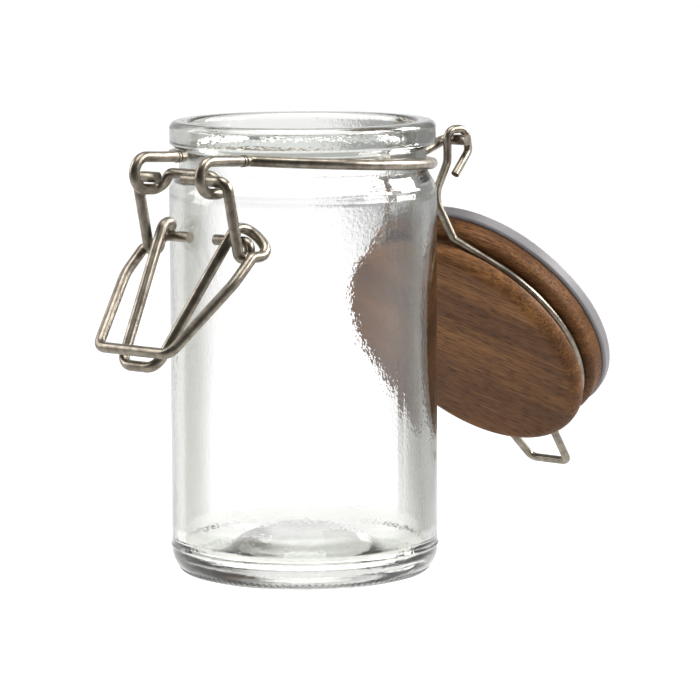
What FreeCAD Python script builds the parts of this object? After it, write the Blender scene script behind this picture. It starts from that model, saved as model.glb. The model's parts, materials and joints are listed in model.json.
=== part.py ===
# Small clip-top storage jar: a glass jar, a wooden lid with a silicone seal, and a bent-wire
# closure. Millimetres, +Z up, origin at the centre of the foot; latch at -Y, hinge at +Y.
import FreeCAD, Part
import Sketcher
import math
import os

os.makedirs("parts", exist_ok=True)
Vec = FreeCAD.Vector
doc = FreeCAD.newDocument("ClipTopJar")
sheet = doc.addObject("Spreadsheet::Sheet", "Sizes")

SIZES = [
    # glass
    ("body_radius", 30.0), ("wall", 3.0), ("heel_round", 5.9), ("body_height", 91.4),
    ("shoulder_rise", 4.0), ("neck_height", 4.5), ("neck_depth", 2.3), ("collar_slope", 1.3),
    ("collar_height", 5.1), ("collar_overhang", 2.1), ("rim_width", 4.5), ("lip_round", 1.6),
    ("floor", 4.6), ("floor_round", 4.0), ("dome_rise", 7.0), ("dome_inset", 6.9),
    ("dome_top_inset", 17.2), ("punt_rise", 3.2), ("punt_inset", 8.5), ("punt_top_inset", 17.0),
    ("seam_height", 6.9), ("seam_proud", 0.25), ("seam_half", 0.55),
    # lid, in its closed place
    ("seal_gap", 0.3), ("seal_thick", 2.8), ("seal_overhang", 0.5), ("seal_fit", 0.25),
    ("seal_edge_round", 0.6), ("lid_overhang", 0.7), ("flange_thick", 5.0), ("groove_width", 3.2),
    ("cap_thick", 4.2), ("cap_round", 2.6), ("cap_back_round", 1.2), ("flange_round", 1.9),
    ("flange_seal_round", 0.8), ("plug_clear", 2.1), ("plug_depth", 4.2), ("groove_fit", 0.2),
    # hinge and swing of the open lid
    ("hinge_out", 16.25), ("hinge_lift", 1.85), ("open_angle", 232.8),
    # neck wire
    ("neck_wire", 2.4), ("neck_wire_fit", 0.15), ("neck_wire_rise", 1.7), ("neck_wire_drop", 0.05),
    ("neck_bend", 2.5), ("eye_half_gap", 10.0), ("eye_out", 13.9), ("eye_inner", 5.35),
    ("eye_drop", 7.1), ("eye_bend", 3.5), ("bridge_out", 6.55), ("bridge_lift", 3.7),
    ("bridge_half", 6.4), ("leg_half_gap", 2.6), ("leg_bend", 1.9), ("pin_half_length", 9.6),
    # lid wire
    ("lid_wire", 1.9), ("ring_inset", 2.2), ("kink_half_gap", 8.5), ("kink_proud", 1.2),
    ("knee_back", 7.2), ("knee_drop", 12.8), ("hook_inset", 5.75), ("hook_half_width", 2.6),
    ("hook_clear", 0.3), ("hook_tail", 7.8), ("hook_side_gap", 0.15), ("catch_root_half", 8.2),
    ("catch_tip_half", 5.6), ("catch_out", 12.4), ("catch_droop", 1.3), ("catch_bend", 2.0),
    # links and lever
    ("latch_wire", 2.4), ("link_seat_gap", 0.3), ("link_half_gap", 13.7), ("link_bend", 2.2),
    ("crook_bend", 1.6), ("crook_out", 3.3), ("crook_drop", 3.3), ("right_top_stub", 0.7),
    ("left_top_stub", 7.2), ("right_low_stub", 3.5), ("left_low_stub", 4.3),
    ("lever_clear", 1.75), ("link_drop", 13.5), ("coil_fit", 0.55), ("coil_inset", 10.8),
    ("tongue_out", 20.6), ("tongue_drop", 26.2), ("tongue_tip_half", 5.2), ("tongue_bend", 3.4),
    ("bow_half", 16.6), ("bow_start", 2.2), ("bow_shoulder_out", 7.9), ("bow_shoulder_drop", 8.1),
    ("bow_out", 22.2), ("bow_drop", 22.6), ("bow_tip_half", 10.9), ("bow_bend", 2.8),
]
for row, (name, value) in enumerate(SIZES, 1):
    sheet.set("A%d" % row, name.replace("_", " "))
    sheet.set("B%d" % row, str(value))
    sheet.setAlias("B%d" % row, name)
doc.recompute()


class Size:
    """A length that knows both its number and its formula over the sheet."""

    def __init__(self, value, text):
        self.value = value
        self.text = text

    def __add__(self, other):
        other = size(other)
        return Size(self.value + other.value, "(%s + %s)" % (self.text, other.text))

    def __sub__(self, other):
        other = size(other)
        return Size(self.value - other.value, "(%s - %s)" % (self.text, other.text))

    def __truediv__(self, number):
        return Size(self.value / number, "(%s / %g)" % (self.text, number))


def size(item):
    if isinstance(item, Size):
        return item
    if isinstance(item, str):
        return Size(float(getattr(sheet, item)), "Sizes." + item)
    return Size(float(item), "%g" % item)


def mm(name):
    return float(getattr(sheet, name))


def origin_plane(body, role):
    return next(f for f in body.Origin.OriginFeatures if f.Role == role)


def turned_body(label, corners):
    """A body revolved round Z from corners (radius, height, round or None)."""
    body = doc.addObject("PartDesign::Body", label)
    body.Label = label
    sketch = body.newObject("Sketcher::SketchObject", label + "_profile")
    sketch.AttachmentSupport = (origin_plane(body, "XZ_Plane"), [""])
    sketch.MapMode = "FlatFace"
    pts = [Vec(size(r).value, size(z).value, 0) for r, z, _ in corners]
    count = len(pts)
    ends = []
    arcs = []
    for i, (_, _, rounding) in enumerate(corners):
        here, before, after = pts[i], pts[i - 1], pts[(i + 1) % count]
        if rounding is None:
            ends.append((here, here))
            arcs.append(None)
            continue
        to_before = (before - here).normalize()
        to_after = (after - here).normalize()
        half = to_before.getAngle(to_after) / 2.0
        radius = size(rounding).value
        first = here + to_before * (radius / math.tan(half))
        last = here + to_after * (radius / math.tan(half))
        middle = (to_before + to_after).normalize()
        centre = here + middle * (radius / math.sin(half))
        ends.append((first, last))
        arcs.append(Part.Arc(first, centre - middle * radius, last))
    lines = []
    for i in range(count):
        segment = Part.LineSegment(ends[i][1], ends[(i + 1) % count][0])
        lines.append(sketch.addGeometry(segment, False))
    for i in range(count):
        incoming, outgoing = lines[i - 1], lines[i]
        radius_of, height_of = size(corners[i][0]), size(corners[i][1])
        if arcs[i] is None:
            sketch.addConstraint(Sketcher.Constraint("Coincident", incoming, 2, outgoing, 1))
            place(sketch, incoming, 2, radius_of, height_of)
            continue
        corner = sketch.addGeometry(Part.Point(pts[i]), True)
        place(sketch, corner, 1, radius_of, height_of)
        sketch.addConstraint(Sketcher.Constraint("PointOnObject", corner, 1, incoming))
        sketch.addConstraint(Sketcher.Constraint("PointOnObject", corner, 1, outgoing))
        arc = sketch.addGeometry(arcs[i], False)
        start, finish = (1, 2)
        if sketch.getPoint(arc, 1).distanceToPoint(ends[i][0]) > 1e-4:
            start, finish = (2, 1)
        sketch.addConstraint(Sketcher.Constraint("Tangent", incoming, 2, arc, start))
        sketch.addConstraint(Sketcher.Constraint("Tangent", arc, finish, outgoing, 1))
        bound(sketch, Sketcher.Constraint("Radius", arc, size(corners[i][2]).value),
              size(corners[i][2]))
    turn = body.newObject("PartDesign::Revolution", label + "_turn")
    turn.Profile = sketch
    turn.ReferenceAxis = (sketch, ["V_Axis"])
    turn.Angle = 360.0
    return body


def bound(sketch, constraint, length):
    index = sketch.addConstraint(constraint)
    sketch.setExpression("Constraints[%d]" % index, length.text)


def place(sketch, geometry, point, across, up):
    if abs(across.value) < 1e-9:
        sketch.addConstraint(Sketcher.Constraint("PointOnObject", geometry, point, -2))
    else:
        bound(sketch, Sketcher.Constraint("DistanceX", -1, 1, geometry, point, across.value), across)
    if abs(up.value) < 1e-9:
        sketch.addConstraint(Sketcher.Constraint("PointOnObject", geometry, point, -1))
    else:
        bound(sketch, Sketcher.Constraint("DistanceY", -1, 1, geometry, point, up.value), up)


def bent_path(points):
    """A wire of straight runs and tangent arcs from points (place, bend radius).
    A radius of None is the largest that leaves room for its neighbours."""
    edges = []
    here = points[0][0]
    for i in range(1, len(points) - 1):
        corner, radius = points[i]
        to_before = (points[i - 1][0] - corner).normalize()
        to_after = (points[i + 1][0] - corner).normalize()
        half = to_before.getAngle(to_after) / 2.0
        if radius is None:
            shorter = min(corner.distanceToPoint(points[i + k][0]) for k in (-1, 1))
            radius = 0.48 * shorter * math.tan(half)
        first = corner + to_before * (radius / math.tan(half))
        last = corner + to_after * (radius / math.tan(half))
        middle = (to_before + to_after).normalize()
        nearest = corner + middle * (radius / math.sin(half) - radius)
        if here.distanceToPoint(first) > 1e-4:
            edges.append(Part.LineSegment(here, first).toShape())
        edges.append(Part.Arc(first, nearest, last).toShape())
        here = last
    edges.append(Part.LineSegment(here, points[-1][0]).toShape())
    return Part.Wire(edges)


def swept_wire(label, points, gauge):
    """Round wire of the named gauge along a bent path."""
    path = doc.addObject("Part::Feature", label + "_path")
    path.Shape = bent_path(points)
    start = points[0][0]
    heading = (points[1][0] - start).normalize()
    section = doc.addObject("Part::Circle", label + "_section")
    section.setExpression("Radius", "Sizes.%s / 2" % gauge)
    section.Placement = FreeCAD.Placement(start, FreeCAD.Rotation(Vec(0, 0, 1), heading))
    pipe = doc.addObject("Part::Sweep", label)
    pipe.Label = label
    pipe.Sections = [section]
    pipe.Spine = (path, ["Edge%d" % (i + 1) for i in range(len(path.Shape.Edges))])
    pipe.Solid = True
    pipe.Frenet = False
    return pipe


def both_sides(half_path):
    """The whole path from a half that starts on the mirror plane x = 0."""
    other = [(Vec(-p.x, p.y, p.z), r) for p, r in reversed(half_path[1:])]
    return other + half_path[1:]


def arc_corners(centre, radius, start, finish, pieces):
    """Corners of the polygon that wraps an arc, so that bends of that radius redraw it."""
    step = (finish - start) / pieces
    reach = radius / math.cos(step / 2.0)
    return [(centre[0] + reach * math.cos(start + step * (k + 0.5)),
             centre[1] + reach * math.sin(start + step * (k + 0.5))) for k in range(pieces)]


# ---- glass jar -------------------------------------------------------------------------
neck_foot = size("body_height")
collar_foot = neck_foot + "neck_height"
collar_low = collar_foot + "collar_slope"
rim_top = collar_low + "collar_height"
neck_radius = size("body_radius") - "neck_depth"
collar_radius = neck_radius + "collar_overhang"
mouth_radius = collar_radius - "rim_width"
bore = size("body_radius") - "wall"
shoulder = neck_foot - "shoulder_rise"
turned_body("glass_jar", [
    (0, "punt_rise", None),
    (size("body_radius") - "punt_top_inset", "punt_rise", 9.0),
    (size("body_radius") - "punt_inset", 0, 2.5),
    ("body_radius", 0, "heel_round"),
    ("body_radius", size("seam_height") - "seam_half", None),
    (size("body_radius") + "seam_proud", "seam_height", None),
    ("body_radius", size("seam_height") + "seam_half", None),
    ("body_radius", shoulder, 2.6),
    (neck_radius, neck_foot, 1.0),
    (neck_radius, collar_foot, 0.5),
    (collar_radius, collar_low, 0.7),
    (collar_radius, rim_top, "lip_round"),
    (mouth_radius, rim_top, "lip_round"),
    (mouth_radius, neck_foot - 0.4, 3.0),
    (bore, shoulder - 1.8, 5.0),
    (bore, "floor", "floor_round"),
    (bore - "dome_inset", "floor", 3.0),
    (bore - "dome_top_inset", size("floor") + "dome_rise", 26.0),
    (0, size("floor") + "dome_rise", None),
])

# ---- lid, turned from one block, and its seal -------------------------------------------
seal_foot = rim_top + "seal_gap"
flange_foot = seal_foot + "seal_thick"
groove_foot = flange_foot + "flange_thick"
groove_top = groove_foot + "groove_width"
cap_top = groove_top + "cap_thick"
lid_radius = collar_radius + "lid_overhang"
ring_radius = lid_radius - "ring_inset"
groove_floor = ring_radius - size("lid_wire") / 2 - "groove_fit"
plug_radius = mouth_radius - "plug_clear"
seal_bore = plug_radius + "seal_fit"
seal_radius = lid_radius + "seal_overhang"
lid = turned_body("lid_wood", [
    (0, flange_foot - "plug_depth", None),
    (plug_radius, flange_foot - "plug_depth", 0.8),
    (plug_radius, flange_foot, None),
    (lid_radius, flange_foot, "flange_seal_round"),
    (lid_radius, groove_foot, "flange_round"),
    (groove_floor, groove_foot, 0.4),
    (groove_floor, groove_top, 0.4),
    (lid_radius, groove_top, "cap_back_round"),
    (lid_radius, cap_top, "cap_round"),
    (0, cap_top, None),
])
seal = turned_body("seal_ring", [
    (seal_bore, seal_foot, 0.4),
    (seal_radius, seal_foot, "seal_edge_round"),
    (seal_radius, flange_foot, "seal_edge_round"),
    (seal_bore, flange_foot, None),
])

# ---- neck wire: one wire, bridge and eyes at the front, open legs and pins at the back ---
neck_r = neck_radius.value + mm("neck_wire") / 2 + mm("neck_wire_fit")
neck_plane = mm("body_height") + mm("neck_height") / 2 - mm("neck_wire_drop")
hinge_y = neck_r + mm("hinge_out")
hinge_z = neck_plane + mm("hinge_lift")
tilt = math.asin(mm("neck_wire_rise") / neck_r)
bend = mm("neck_bend")
eye_x = mm("eye_half_gap")
eye_far = neck_r + mm("eye_out")
eye_near = neck_r + mm("eye_inner")
bridge_y = neck_r + mm("bridge_out")
leg_x = mm("leg_half_gap")
drop = -mm("eye_drop")


def turn_out(half_gap, way):
    """Where the round of the neck ends so that a bend leaves it along the line x = half_gap."""
    bend_x = half_gap + bend
    bend_y = math.sqrt((neck_r + bend) ** 2 - bend_x ** 2)
    angle = math.atan2(way * bend_y, bend_x)
    touch = (neck_r * math.cos(angle), neck_r * math.sin(angle))
    along = (-math.sin(angle) * -way, math.cos(angle) * -way)
    run = (touch[0] - half_gap) / -along[0]
    return angle, Vec(half_gap, touch[1] + along[1] * run, 0)


front_angle, front_corner = turn_out(eye_x, -1)
back_angle, back_corner = turn_out(leg_x, 1)
pin_y = hinge_y * math.cos(tilt) - (hinge_z - neck_plane) * math.sin(tilt)
pin_z = hinge_y * math.sin(tilt) + (hinge_z - neck_plane) * math.cos(tilt)
half = [
    (Vec(0, -bridge_y, drop + mm("bridge_lift")), 0),
    (Vec(mm("bridge_half"), -bridge_y, drop + mm("bridge_lift")), 2.6),
    (Vec(eye_x, -eye_near, drop), 2.4),
    (Vec(eye_x, -eye_far, drop), mm("eye_bend")),
    (Vec(eye_x, -eye_far, 0), mm("eye_bend")),
    (front_corner, bend),
]
for x, y in arc_corners((0, 0), neck_r, front_angle, back_angle, 4):
    half.append((Vec(x, y, 0), neck_r))
half += [
    (back_corner, bend),
    (Vec(leg_x, back_corner.y + 4.5, 0), 3.0),
    (Vec(leg_x, pin_y, pin_z), mm("leg_bend")),
    (Vec(mm("pin_half_length"), pin_y, pin_z), 0),
]
neck = swept_wire("neck_wire", both_sides(half), "neck_wire")
neck.Placement = FreeCAD.Placement(Vec(0, 0, neck_plane),
                                   FreeCAD.Rotation(Vec(1, 0, 0), -math.degrees(tilt)))

# ---- lid wire: hooks on the pins, arms, ring in the groove, catch loop at the front ------
ring_z = (groove_foot.value + groove_top.value) / 2
ring_r = ring_radius.value
wire = mm("lid_wire")
swing = math.radians(mm("open_angle"))


def from_open(x, out, up):
    """A place given beside the hinge pin with the lid open, in the lid's closed frame."""
    y = hinge_y + out * math.cos(swing) - up * math.sin(swing)
    z = hinge_z + out * math.sin(swing) + up * math.cos(swing)
    return Vec(x, y, z)


hook_x = mm("hook_inset")
hook_far = hook_x + wire + mm("hook_side_gap")
wide = mm("hook_half_width")
top = (mm("neck_wire") + wire) / 2 + mm("hook_clear")
kink_x, kink_y = mm("kink_half_gap"), ring_r + mm("kink_proud")
kink = math.atan2(kink_y, kink_x) - math.acos(ring_r / math.hypot(kink_x, kink_y))
leave = -math.acos((mm("catch_root_half") + 1.9) / ring_r)
root = (ring_r * math.cos(leave) + 2.0 * math.sin(leave),
        ring_r * math.sin(leave) - 2.0 * math.cos(leave))
catch_y = lid_radius.value + mm("catch_out")
half = [
    (Vec(0, -catch_y, ring_z - mm("catch_droop")), 0),
    (Vec(mm("catch_tip_half"), -catch_y, ring_z - mm("catch_droop")), mm("catch_bend")),
    (Vec(root[0], root[1], ring_z), 1.8),
]
for x, y in arc_corners((0, 0), ring_r, leave, kink, 3):
    half.append((Vec(x, y, ring_z), ring_r))
half += [
    (Vec(kink_x, kink_y, ring_z), 1.1),
    (from_open(hook_x, -mm("knee_back"), -mm("knee_drop")), 6.0),
    (from_open(hook_x, -wide, -5.0), 3.0),
    (from_open(hook_x, -wide, top), 2.2),
    (from_open((hook_x + hook_far) / 2, wide, top), 2.2),
    (from_open(hook_far - 0.3, wide + 0.2, -2.6), 2.4),
    (from_open(hook_far, -wide + 0.3, -mm("hook_tail")), 0),
]
bail = swept_wire("lid_wire", both_sides(half), "lid_wire")

# ---- links: top stub in the eye, arm, and a crook below that turns in as the low stub ----
latch = mm("latch_wire")
link_y = -(eye_near + eye_far) / 2
eye_foot = neck_plane - link_y * math.sin(tilt) + drop * math.cos(tilt)
link_z = eye_foot + (mm("neck_wire") + latch) / 2 + mm("link_seat_gap")
lever_y = -(mm("body_radius") + mm("lever_clear"))
lever_z = link_z - mm("link_drop")
for side, label in ((1, "link_right"), (-1, "link_left")):
    hand = label.split("_")[1]
    arm_x = side * mm("link_half_gap")
    swept_wire(label, [
        (Vec(side * mm(hand + "_top_stub"), link_y, link_z), 0),
        (Vec(arm_x, link_y, link_z), mm("link_bend")),
        (Vec(arm_x, lever_y - mm("crook_out"), lever_z - mm("crook_drop")), mm("crook_bend")),
        (Vec(arm_x, lever_y, lever_z - mm("crook_drop")), mm("crook_bend")),
        (Vec(arm_x, lever_y, lever_z), mm("crook_bend")),
        (Vec(side * mm(hand + "_low_stub"), lever_y, lever_z), 0),
    ], "latch_wire")

# ---- lever: one wire, tongue, a turn round each low stub that steps outwards, bow ---------
coil_r = latch + mm("coil_fit")
tongue_reach = math.hypot(mm("tongue_out"), mm("tongue_drop"))
tongue = math.pi + math.atan2(mm("tongue_drop"), mm("tongue_out")) + math.asin(coil_r / tongue_reach)
tip = (lever_y - mm("tongue_out"), lever_z - mm("tongue_drop"))
half = [
    (Vec(0, tip[0], tip[1]), 0),
    (Vec(mm("tongue_tip_half"), tip[0], tip[1]), mm("tongue_bend")),
]
on_coil = arc_corners((lever_y, lever_z), coil_r, tongue - math.pi / 2, -math.pi / 2, 6)
step_out = mm("bow_half") - mm("coil_inset")
for (y, z), share in zip(on_coil, (0.0, 0.05, 0.17, 0.56, 0.93, 1.0)):
    half.append((Vec(mm("coil_inset") + step_out * share, y, z), None))
half += [
    (Vec(mm("bow_half"), lever_y - mm("bow_start"), lever_z - coil_r), 1.9),
    (Vec(mm("bow_half"), lever_y - mm("bow_shoulder_out"), lever_z - mm("bow_shoulder_drop")), 14.0),
    (Vec(mm("bow_tip_half"), lever_y - mm("bow_out"), lever_z - mm("bow_drop")), mm("bow_bend")),
]
whole = half + [(Vec(-p.x, p.y, p.z), r) for p, r in reversed(half[1:])]
whole.append((half[0][0], 0))
lever = swept_wire("lever", whole, "latch_wire")

# ---- swing the lid open -----------------------------------------------------------------
sheet.set("D1", "=body_radius - neck_depth + neck_wire / 2 + neck_wire_fit + hinge_out")
sheet.setAlias("D1", "hinge_back")
sheet.set("D2", "=body_height + neck_height / 2 - neck_wire_drop + hinge_lift")
sheet.setAlias("D2", "hinge_height")
doc.recompute()
for piece in (lid, seal, bail):
    piece.Placement = FreeCAD.Placement(Vec(), FreeCAD.Rotation(Vec(1, 0, 0), -mm("open_angle")))
    piece.setExpression("Placement.Base.y",
                        "Sizes.hinge_back - Sizes.hinge_back * cos(Sizes.open_angle * 1 deg)"
                        " - Sizes.hinge_height * sin(Sizes.open_angle * 1 deg)")
    piece.setExpression("Placement.Base.z",
                        "Sizes.hinge_height + Sizes.hinge_back * sin(Sizes.open_angle * 1 deg)"
                        " - Sizes.hinge_height * cos(Sizes.open_angle * 1 deg)")
doc.recompute()
print("hinge pin", hinge_y, hinge_z, " link axis", link_y, link_z, " lever axis", lever_y, lever_z)

NODES = ["glass_jar", "neck_wire", "lid_wood", "seal_ring", "lid_wire",
         "link_right", "link_left", "lever"]
for item in doc.Objects:
    if "Invalid" in item.State or "Error" in item.State:
        raise RuntimeError("%s did not build: %s" % (item.Label, item.State))
for name in NODES:
    piece = doc.getObjectsByLabel(name)[0]
    if piece.Shape.isNull() or not piece.Shape.isValid():
        raise RuntimeError(name + " has no valid shape")
    solids = len(piece.Shape.Solids)
    if solids != 1:
        raise RuntimeError("%s has %d solids" % (name, solids))
    piece.Shape.exportStep("parts/%s.step" % name)
    print("%-11s %9.1f mm3  %s" % (name, piece.Shape.Volume, piece.Shape.BoundBox))
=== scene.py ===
# Small clip-top storage jar, lid hanging open: materials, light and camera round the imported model.
import json
import math
import bpy
from mathutils import Matrix, Vector


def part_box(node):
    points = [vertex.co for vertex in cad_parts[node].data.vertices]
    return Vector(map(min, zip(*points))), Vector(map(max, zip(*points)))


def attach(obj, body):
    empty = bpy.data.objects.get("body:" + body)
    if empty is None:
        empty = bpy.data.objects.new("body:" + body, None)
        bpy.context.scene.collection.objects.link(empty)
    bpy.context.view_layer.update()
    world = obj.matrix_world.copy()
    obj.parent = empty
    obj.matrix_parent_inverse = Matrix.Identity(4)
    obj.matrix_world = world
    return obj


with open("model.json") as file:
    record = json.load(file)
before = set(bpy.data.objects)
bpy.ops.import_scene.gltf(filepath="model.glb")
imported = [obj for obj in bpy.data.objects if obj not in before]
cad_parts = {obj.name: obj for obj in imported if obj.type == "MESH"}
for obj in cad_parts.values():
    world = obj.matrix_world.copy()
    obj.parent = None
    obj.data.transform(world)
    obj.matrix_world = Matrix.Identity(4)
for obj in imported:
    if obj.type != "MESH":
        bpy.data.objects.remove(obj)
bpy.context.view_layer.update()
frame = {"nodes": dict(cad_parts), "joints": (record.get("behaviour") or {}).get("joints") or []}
print("frame loaded:", sorted(frame["nodes"]))


# one socket of a node; sums and products of signals add their Math nodes
class Signal:
    def __init__(self, tree, socket):
        self.tree = tree
        self.socket = socket

    def math(self, operation, first, second):
        return self.tree.add("ShaderNodeMath", {"operation": operation}, first, second)

    def __add__(self, other):
        return self.math("ADD", self, other)

    def __sub__(self, other):
        return self.math("SUBTRACT", self, other)

    def __mul__(self, other):
        return self.math("MULTIPLY", self, other)

    def __rsub__(self, other):
        return self.math("SUBTRACT", other, self)

    __radd__ = __add__
    __rmul__ = __mul__

    # soft step from 0 at low to 1 at high
    def between(self, low, high):
        return self.tree.add("ShaderNodeMapRange", {"interpolation_type": "SMOOTHSTEP"}, self, low, high)


class NodeTree:
    # one node: its settings first, then its sockets by place or by name
    def add(self, kind, settings, *values, output=0, **named):
        node = self.tree.nodes.new(kind)
        for key, value in settings.items():
            if key == "stops":
                self.setStops(node, value)
            else:
                setattr(node, key, value)
        for index, value in enumerate(values):
            self.feed(node.inputs[index], value)
        for key, value in named.items():
            self.feed(node.inputs[key.replace("_", " ")], value)
        return Signal(self, node.outputs[output])

    def feed(self, socket, value):
        if isinstance(value, Signal):
            self.tree.links.new(value.socket, socket)
        elif value is not None:
            socket.default_value = value

    def setStops(self, node, stops):
        ramp = node.color_ramp
        while len(ramp.elements) < len(stops):
            ramp.elements.new(0.5)
        for element, (position, colour) in zip(ramp.elements, stops):
            element.position = position
            element.color = (*colour, 1.0)


class ShaderTree(NodeTree):
    def __init__(self, owner):
        owner.use_nodes = True
        self.tree = owner.node_tree
        self.tree.nodes.clear()

    def objectCoords(self):
        return self.add("ShaderNodeTexCoord", {}, output=3)

    def placed(self, coords, rotation=(0, 0, 0), scale=(1, 1, 1)):
        return self.add("ShaderNodeMapping", {}, Vector=coords, Rotation=rotation, Scale=scale)

    def heightOf(self, coords):
        return self.add("ShaderNodeSeparateXYZ", {}, coords, output=2)

    def lightPath(self, output):
        return self.add("ShaderNodeLightPath", {}, output=output)

    def noise(self, coords, scale=1.0, detail=1.0, roughness=0.5, distortion=0.0):
        return self.add("ShaderNodeTexNoise", {}, Vector=coords, Scale=scale, Detail=detail,
                        Roughness=roughness, Distortion=distortion)

    # the Mix node's colour sockets come after those of its number and vector modes
    def blendColours(self, factor, first, second):
        node = self.tree.nodes.new("ShaderNodeMix")
        node.data_type = "RGBA"
        for index, value in ((0, factor), (6, first), (7, second)):
            self.feed(node.inputs[index], value)
        return Signal(self, node.outputs[2])

    def bump(self, height, strength, distance, normal=None):
        return self.add("ShaderNodeBump", {}, Strength=strength, Distance=distance, Height=height,
                        Normal=normal)

    def finish(self, surface, kind="ShaderNodeOutputMaterial"):
        node = self.tree.nodes.new(kind)
        self.tree.links.new(surface.socket, node.inputs["Surface"])

    def surface(self, **sockets):
        self.finish(self.add("ShaderNodeBsdfPrincipled", {}, **sockets))


# a geometry tree whose sizes are named inputs, set on the modifier before it is first evaluated
class PatternTree(NodeTree):
    def __init__(self, name, sizes):
        self.name = name
        self.sizes = sizes
        self.tree = bpy.data.node_groups.new(name, "GeometryNodeTree")
        self.sockets = {}
        for key, value in sizes.items():
            kind = "NodeSocketInt" if isinstance(value, int) else "NodeSocketFloat"
            self.sockets[key] = self.tree.interface.new_socket(key, in_out="INPUT", socket_type=kind)
        self.tree.interface.new_socket("Geometry", in_out="OUTPUT", socket_type="NodeSocketGeometry")
        self.group = self.tree.nodes.new("NodeGroupInput")

    def __getitem__(self, key):
        return Signal(self, self.group.outputs[key])

    def vector(self, x, y, z):
        return self.add("ShaderNodeCombineXYZ", {}, x, y, z)

    def moved(self, geometry, place=None, turn=None, scale=None):
        return self.add("GeometryNodeTransform", {}, Geometry=geometry, Translation=place, Rotation=turn,
                        Scale=scale)

    # the pattern as one plain mesh at the origin, riding on its body
    def build(self, geometry, material, body, slot):
        whole = self.add("GeometryNodeRealizeInstances", {}, geometry)
        whole = self.add("GeometryNodeSetMaterial", {}, Geometry=whole, Material=material)
        self.tree.links.new(whole.socket, self.tree.nodes.new("NodeGroupOutput").inputs[0])
        maker = bpy.data.objects.new(self.name + "Maker", bpy.data.meshes.new(self.name + "Maker"))
        bpy.context.scene.collection.objects.link(maker)
        modifier = maker.modifiers.new("pattern", "NODES")
        modifier.node_group = self.tree
        for key, value in self.sizes.items():
            modifier[self.sockets[key].identifier] = value
        bpy.context.view_layer.update()
        mesh = bpy.data.meshes.new_from_object(maker.evaluated_get(bpy.context.evaluated_depsgraph_get()))
        mesh.name = self.name
        maker.modifiers.remove(modifier)
        bpy.data.objects.remove(maker)
        piece = bpy.data.objects.new(self.name, mesh)
        bpy.context.scene.collection.objects.link(piece)
        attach(piece, body)
        print(self.name, "faces", len(mesh.polygons))


def newMaterial(name):
    material = bpy.data.materials.new(name)
    return material, ShaderTree(material)


def dress(node, material):
    for slot in frame["nodes"][node].material_slots:
        slot.material = material


# clear pressed glass: clear face on, pebbled skin; grey-green where the view runs along the wall, partly the
# glass's own tint along a longer path and partly painted shade standing in for dark surroundings reflected at
# the edges; the thick collar and foot are tinted a little more
glassLook = {"face": (1.0, 1.0, 1.0, 1), "edge": (0.43, 0.44, 0.40, 1), "wall": (0.20, 0.56),
             "collarFace": (0.86, 0.87, 0.85, 1), "collarEdge": (0.27, 0.28, 0.25, 1), "collarDepth": 0.0095,
             "footFace": (0.80, 0.81, 0.78, 1), "footEdge": (0.84, 0.85, 0.81, 1), "footHeight": 0.0105,
             "fade": 0.0015, "pebbleSize": 1300.0, "pebbleStrength": 0.6, "pebbleDepth": 0.00004,
             "waveSize": 60.0, "waveStretch": 0.3, "waveStrength": 0.4, "waveDepth": 0.0005, "ior": 1.48}


def makeGlass():
    look = glassLook
    material, tree = newMaterial("clearGlass")
    coords = tree.objectCoords()
    pebble = tree.noise(coords, look["pebbleSize"])
    wave = tree.noise(tree.placed(coords, scale=(1, 1, look["waveStretch"])), look["waveSize"])
    swell = tree.bump(wave, look["waveStrength"], look["waveDepth"])
    skin = tree.bump(pebble, look["pebbleStrength"], look["pebbleDepth"], swell)
    grazing = tree.add("ShaderNodeLayerWeight", {}, Blend=0.5, output=1)
    height = tree.heightOf(coords)
    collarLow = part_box("glass_jar")[1][2] - look["collarDepth"]
    collar = height.between(collarLow, collarLow + look["fade"])
    foot = 1 - height.between(look["footHeight"], look["footHeight"] + look["fade"])
    clear = tree.blendColours(collar, look["face"], look["collarFace"])
    clear = tree.blendColours(foot, clear, look["footFace"])
    # grazing colours of wall, foot and collar: partly the glass's own grey-green, partly painted shade for
    # dark reflections at the edges
    edge = tree.blendColours(foot, look["edge"], look["footEdge"])
    edge = tree.blendColours(collar, edge, look["collarEdge"])
    tintAndEdgeShade = tree.blendColours(grazing.between(*look["wall"]), clear, edge)
    tree.surface(Base_Color=tintAndEdgeShade, Normal=skin, Roughness=0.0, IOR=look["ior"], Transmission_Weight=1.0)
    return material


# dark oiled hardwood: the grain runs across the lid, with short open pores; the scales are along and
# across the grain
woodLook = {"tones": ((0.36, (0.048, 0.020, 0.0065)), (0.52, (0.092, 0.038, 0.0115)),
                      (0.68, (0.225, 0.100, 0.033))),
            "pore": (0.026, 0.012, 0.006, 1), "poreCut": (0.53, 0.66), "poreTint": 0.62,
            "grainTurn": math.radians(24.0), "wanderSize": 28.0, "bandScale": (7, 110, 110),
            "fibreScale": (110, 1900, 1900), "poreScale": (300, 3400, 3400), "fleckScale": (900, 4200, 4200),
            "bandShare": 0.50, "fibreShare": 0.42, "wanderShare": 0.12,
            "fibreRelief": 0.4, "fleckRelief": 0.35, "reliefStrength": 0.5, "reliefDepth": 0.00012,
            "roughness": 0.46, "poreRoughness": 0.25, "fibreRoughness": 0.1, "specular": 0.12}


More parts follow.
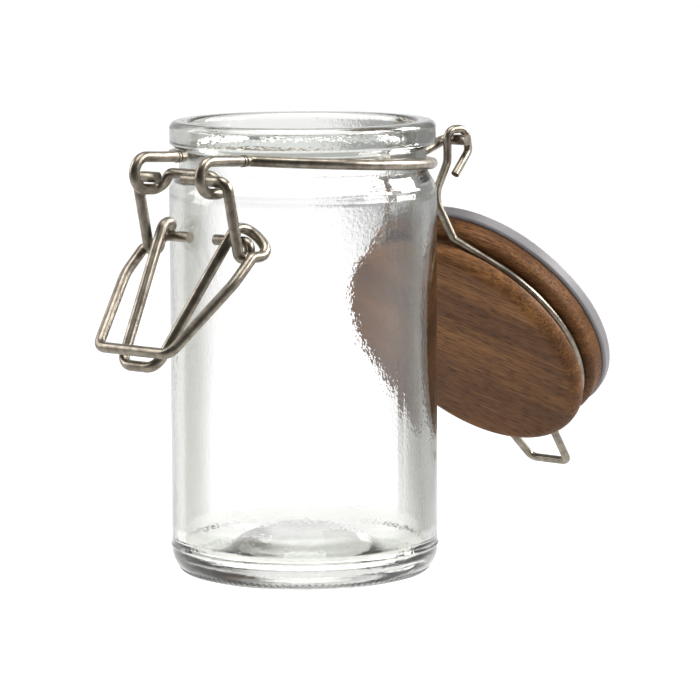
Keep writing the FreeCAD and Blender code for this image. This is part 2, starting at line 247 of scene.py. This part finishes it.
def makeWood(openAngle):
    look = woodLook
    material, tree = newMaterial("oiledWood")
    level = tree.placed(tree.objectCoords(), rotation=(openAngle, 0, 0))
    grain = tree.placed(level, rotation=(0, 0, look["grainTurn"]))
    wander = tree.noise(grain, look["wanderSize"], detail=2.0)
    bands = tree.noise(tree.placed(grain, scale=look["bandScale"]), detail=5.0, roughness=0.65, distortion=0.5)
    fibres = tree.noise(tree.placed(grain, scale=look["fibreScale"]), detail=3.0, roughness=0.7)
    pores = tree.noise(tree.placed(grain, scale=look["poreScale"])).between(*look["poreCut"])
    fleck = tree.noise(tree.placed(grain, scale=look["fleckScale"]))
    tone = bands * look["bandShare"] + fibres * look["fibreShare"] + wander * look["wanderShare"]
    colour = tree.add("ShaderNodeValToRGB", {"stops": look["tones"]}, tone)
    colour = tree.blendColours(pores * look["poreTint"], colour, look["pore"])
    relief = fibres * look["fibreRelief"] - pores + fleck * look["fleckRelief"]
    roughness = look["roughness"] + pores * look["poreRoughness"] + fibres * look["fibreRoughness"]
    tree.surface(Base_Color=colour, Roughness=roughness, Specular_IOR_Level=look["specular"],
                 Normal=tree.bump(relief, look["reliefStrength"], look["reliefDepth"]))
    return material


# smooth grey translucent silicone, faintly clouded
siliconeLook = {"dark": (0.125, 0.119, 0.125, 1), "pale": (0.165, 0.157, 0.162, 1), "cloudSize": 160.0,
                "skinSize": 2500.0, "skinStrength": 0.12, "skinDepth": 0.00003, "roughness": 0.42,
                "cloudRoughness": 0.1, "translucence": 0.25, "lightReach": 0.002}


def makeSilicone():
    look = siliconeLook
    material, tree = newMaterial("greySilicone")
    coords = tree.objectCoords()
    cloud = tree.noise(coords, look["cloudSize"], detail=3.0)
    skin = tree.bump(tree.noise(coords, look["skinSize"]), look["skinStrength"], look["skinDepth"])
    tree.surface(Base_Color=tree.blendColours(cloud, look["dark"], look["pale"]), Normal=skin,
                 Roughness=look["roughness"] + cloud * look["cloudRoughness"],
                 Subsurface_Weight=look["translucence"], Subsurface_Scale=look["lightReach"])
    return material


# drawn stainless wire, a little tarnished, with scuffs from forming
steelLook = {"bright": (0.305, 0.270, 0.220, 1), "dull": (0.168, 0.144, 0.113, 1),
             "scuff": (0.05, 0.04, 0.03, 1), "patchSize": 420.0, "speckSize": 3800.0, "dullCut": (0.3, 0.68),
             "speckCut": (0.58, 0.74), "scuffedCut": (0.42, 0.6), "scuffTint": 0.7, "speckRelief": 0.4,
             "reliefStrength": 0.14, "reliefDepth": 0.00005, "roughness": 0.26, "patchRoughness": 0.14,
             "scuffRoughness": 0.15, "markRoughness": 0.45}


def makeSteel():
    look = steelLook
    material, tree = newMaterial("drawnSteel")
    coords = tree.objectCoords()
    patches = tree.noise(coords, look["patchSize"], detail=4.0, roughness=0.65)
    specks = tree.noise(coords, look["speckSize"], detail=2.0)
    scuffs = specks.between(*look["speckCut"]) * patches.between(*look["scuffedCut"])
    colour = tree.blendColours(patches.between(*look["dullCut"]), look["bright"], look["dull"])
    colour = tree.blendColours(scuffs * look["scuffTint"], colour, look["scuff"])
    skin = tree.bump(specks * look["speckRelief"] + patches, look["reliefStrength"], look["reliefDepth"])
    roughness = look["roughness"] + patches * look["patchRoughness"] + scuffs * look["scuffRoughness"]
    tree.surface(Base_Color=colour, Normal=skin, Metallic=1.0, Roughness=roughness)
    return material


hinge = next(joint for joint in frame["joints"] if joint["name"] == "lid_hinge")
openAngle = math.radians(hinge["range_deg"][1])
steel = makeSteel()
glass = makeGlass()
dress("glass_jar", glass)
dress("lid_wood", makeWood(openAngle))
dress("seal_ring", makeSilicone())
for node in ("neck_wire", "lid_wire", "link_right", "link_left", "lever"):
    dress(node, steel)
frame["nodes"]["glass_jar"].visible_shadow = False  # clear glass leaves the floor bright
print("materials on")


# ring of short bars moulded on the heel, which keep the hot jar off the belt
heelSizes = {"Count": 120, "Ring radius": 0.02773, "Ring height": 0.00125, "Slope": math.radians(38),
             "Bar length": 0.0010, "Bar width": 0.00042, "Bar height": 0.00022}


def makeHeelBars():
    tree = PatternTree("heelBars", heelSizes)
    ring = tree.add("GeometryNodeMeshCircle", {}, Vertices=tree["Count"], Radius=tree["Ring radius"])
    ring = tree.moved(ring, place=tree.vector(0, 0, tree["Ring height"]))
    bar = tree.add("GeometryNodeMeshIcoSphere", {}, Radius=1.0, Subdivisions=2)
    bar = tree.moved(bar, scale=tree.vector(tree["Bar length"], tree["Bar width"], tree["Bar height"]))
    bar = tree.moved(bar, turn=tree.vector(0, tree["Slope"] * -1, 0))
    place = tree.add("GeometryNodeInputPosition", {})
    outward = tree.add("ShaderNodeVectorMath", {"operation": "MULTIPLY"}, place, (1, 1, 0))
    facing = tree.add("FunctionNodeAlignRotationToVector", {"axis": "X", "pivot_axis": "Z"}, Vector=outward)
    bars = tree.add("GeometryNodeInstanceOnPoints", {}, Points=ring, Instance=bar, Rotation=facing)
    tree.build(bars, glass, "jar", "glass")


# tool marks: thin raised rings left by the bending jaws where the neck wire leaves the round
jawSizes = {"Count": 2, "Pitch": 0.0009, "Half gap": 0.010, "Start": -0.0301, "Height": 0.09533,
            "Wire radius": 0.00118, "Ridge radius": 0.00015}


def makeJawMarks():
    tree = PatternTree("jawMarks", jawSizes)
    ring = tree.add("GeometryNodeCurvePrimitiveCircle", {}, Resolution=24, Radius=tree["Wire radius"])
    section = tree.add("GeometryNodeCurvePrimitiveCircle", {}, Resolution=6, Radius=tree["Ridge radius"])
    ridge = tree.add("GeometryNodeCurveToMesh", {}, Curve=ring, Profile_Curve=section)
    ridge = tree.moved(ridge, turn=(math.pi / 2, 0, 0))
    sides = []
    for side in (1, -1):
        start = tree.vector(tree["Half gap"] * side, tree["Start"], tree["Height"])
        row = tree.add("GeometryNodeMeshLine", {}, Count=tree["Count"], Start_Location=start,
                       Offset=tree.vector(0, tree["Pitch"], 0))
        sides.append(tree.add("GeometryNodeInstanceOnPoints", {}, Points=row, Instance=ridge))
    joined = tree.add("GeometryNodeJoinGeometry", {})
    for part in sides:
        tree.tree.links.new(part.socket, joined.socket.node.inputs[0])
    material, marks = newMaterial("markedSteel")
    marks.surface(Base_Color=steelLook["scuff"], Metallic=1.0, Roughness=steelLook["markRoughness"])
    tree.build(joined, material, "jar", "steel")


# seeds: tiny bubbles left in the wall of the glass
seedSizes = {"Wall radius": 0.0285, "Span": 0.066, "Middle": 0.048, "Density": 1100.0, "Seed": 7,
             "Smallest": 0.00005, "Largest": 0.00013}
seedLook = {"colour": (0.16, 0.16, 0.15, 1), "roughness": 0.25}


def makeSeeds():
    tree = PatternTree("glassSeeds", seedSizes)
    wall = tree.add("GeometryNodeMeshCylinder", {"fill_type": "NONE"}, Vertices=48,
                    Radius=tree["Wall radius"], Depth=tree["Span"])
    wall = tree.moved(wall, place=tree.vector(0, 0, tree["Middle"]))
    spots = tree.add("GeometryNodeDistributePointsOnFaces", {}, Mesh=wall, Density=tree["Density"],
                     Seed=tree["Seed"])
    bubble = tree.add("GeometryNodeMeshIcoSphere", {}, Radius=1.0, Subdivisions=1)
    size = tree.add("FunctionNodeRandomValue", {"data_type": "FLOAT"}, output=1)
    random = size.socket.node
    tree.feed(random.inputs[2], tree["Smallest"])
    tree.feed(random.inputs[3], tree["Largest"])
    tree.feed(random.inputs["Seed"], tree["Seed"])
    seeds = tree.add("GeometryNodeInstanceOnPoints", {}, Points=spots, Instance=bubble, Scale=size)
    material, bubbles = newMaterial("seedBubble")
    bubbles.surface(Base_Color=seedLook["colour"], Roughness=seedLook["roughness"])
    tree.build(seeds, material, "jar", "glass")


makeHeelBars()
makeJawMarks()
makeSeeds()
print("patterns built")


# camera: level with the rim and a little above, from the latch's right-hand side
view = {"turn": 43.0, "distance": 0.975, "height": 0.1703, "down": 7.01, "roll": -0.35,
        "lens": 224.54, "sensor": 36.0, "shift": 0.0661, "nearest": 0.01}

# plain pale floor and an even studio; polished things see a dark room on the viewer's side, and what
# glass shows of the right-hand side is shaded as by a flag; floor ranges are in metres from the jar's
# axis, sky ranges are shares of the way to that side
studio = {"floorSize": 12.0, "floorDrop": 0.0003, "floorTone": 0.93, "floorGlow": 1.12, "glowShare": 0.85,
          "floorRoom": (0.04, 0.24), "roomFloor": 0.12, "floorGlassRoom": 0.75, "floorFlag": (0.03, 0.09),
          "backTone": 1.0, "skyTone": 0.42, "skyRoom": (-0.35, 0.25), "roomTone": 0.06, "skyGlassRoom": 0.8,
          "ceiling": (0.35, 0.75), "ceilingShare": 0.75, "skyFlag": (0.2, 0.42), "flagShade": 0.62}
viewerSide, rightSide = -90.0, 0.0  # degrees from the view's right

panels = {
    "topPanel": {"place": (0.05, -0.05, 0.75), "target": (0, 0, 0.05), "size": (0.5, 0.5), "power": 4.5},
    "leftPanel": {"place": (-0.62, -0.35, 0.42), "target": (0, 0, 0.06), "size": (0.35, 0.6), "power": 3.0},
    "backPanel": {"place": (0.35, 0.75, 0.5), "target": (0, 0.03, 0.06), "size": (0.4, 0.4), "power": 11.0},
    "rightPanel": {"place": (0.62, 0.34, 0.5), "target": (0, 0.09, 0.06), "size": (0.35, 0.35), "power": 7.0}}


def towards(side, tree, vector):
    turn = math.radians(view["turn"] + side)
    return tree.add("ShaderNodeVectorMath", {"operation": "DOT_PRODUCT"}, vector,
                    (math.cos(turn), math.sin(turn), 0), output=1)


def mirrored(tree):
    return tree.lightPath("Glossy Depth").between(0, 1)


def throughGlass(tree):
    return tree.lightPath("Transmission Depth").between(0, 1)


# how far glass is shaded by the flag: only glass is smooth enough for singular rays
def flagged(tree, vector, reach):
    reached = towards(rightSide, tree, vector).between(*reach)
    return tree.lightPath("Is Singular Ray") * reached * studio["flagShade"]


def makeFloor():
    half, level, tone = studio["floorSize"] / 2, -studio["floorDrop"], studio["floorTone"]
    mesh = bpy.data.meshes.new("floor")
    corners = [(x * half, y * half, level) for x, y in ((-1, -1), (1, -1), (1, 1), (-1, 1))]
    mesh.from_pydata(corners, [], [(0, 1, 2, 3)])
    floor = bpy.data.objects.new("floor", mesh)
    bpy.context.scene.collection.objects.link(floor)
    material, tree = newMaterial("paleFloor")
    spot = tree.objectCoords()
    paper = tree.add("ShaderNodeBsdfDiffuse", {}, (tone, tone, tone, 1))
    room = towards(viewerSide, tree, spot).between(*studio["floorRoom"])
    dimmed = mirrored(tree) * room * (1 - studio["roomFloor"])
    dimmed = dimmed * (1 - throughGlass(tree) * studio["floorGlassRoom"])
    strength = studio["floorGlow"] * (1 - dimmed) * (1 - flagged(tree, spot, studio["floorFlag"]))
    glow = tree.add("ShaderNodeEmission", {}, (1, 1, 1, 1), strength)
    tree.finish(tree.add("ShaderNodeMixShader", {}, studio["glowShare"], paper, glow))
    mesh.materials.append(material)


def makeWorld():
    world = bpy.data.worlds.new("studioWorld")
    bpy.context.scene.world = world
    tree = ShaderTree(world)
    direction = tree.add("ShaderNodeTexCoord", {}, output=0)
    ceiling = tree.heightOf(direction).between(*studio["ceiling"]) * studio["ceilingShare"]
    room = 1 - (1 - towards(viewerSide, tree, direction).between(*studio["skyRoom"])) * (1 - ceiling)
    glossy = mirrored(tree) * (1 - throughGlass(tree) * studio["skyGlassRoom"])
    strength = studio["backTone"] - glossy * room * (studio["backTone"] - studio["roomTone"])
    strength = strength * (1 - tree.lightPath("Is Diffuse Ray") * (1 - studio["skyTone"]))
    strength = strength * (1 - flagged(tree, direction, studio["skyFlag"]))
    tree.finish(tree.add("ShaderNodeBackground", {}, (1, 1, 1, 1), strength), "ShaderNodeOutputWorld")


def addPanel(name, panel):
    light = bpy.data.lights.new(name, "AREA")
    light.shape = "RECTANGLE"
    light.size, light.size_y = panel["size"]
    light.energy = panel["power"]
    lamp = bpy.data.objects.new(name, light)
    bpy.context.scene.collection.objects.link(lamp)
    lamp.location = panel["place"]
    aim = Vector(panel["target"]) - Vector(panel["place"])
    lamp.rotation_euler = aim.to_track_quat("-Z", "Y").to_euler()
    lamp.visible_camera = False


def makeCamera():
    turn, down, roll = (math.radians(view[key]) for key in ("turn", "down", "roll"))
    side = Vector((math.cos(turn), math.sin(turn), 0))
    level = Vector((-math.sin(turn), math.cos(turn), 0))
    forward = level * math.cos(down) - Vector((0, 0, math.sin(down)))
    right = side * math.cos(roll) + side.cross(forward) * math.sin(roll)
    axes = Matrix((right, right.cross(forward), -forward)).transposed().to_4x4()
    data = bpy.data.cameras.new("camera")
    data.sensor_width = view["sensor"]
    data.lens = view["lens"]
    data.shift_x = view["shift"]
    data.clip_start = view["nearest"]
    camera = bpy.data.objects.new("camera", data)
    bpy.context.scene.collection.objects.link(camera)
    place = level * -view["distance"] + Vector((0, 0, view["height"]))
    camera.matrix_world = Matrix.Translation(place) @ axes
    bpy.context.scene.camera = camera


makeFloor()
makeWorld()
makeCamera()
for name, panel in panels.items():
    addPanel(name, panel)
bpy.context.scene.view_settings.view_transform = "Standard"
print("studio ready")
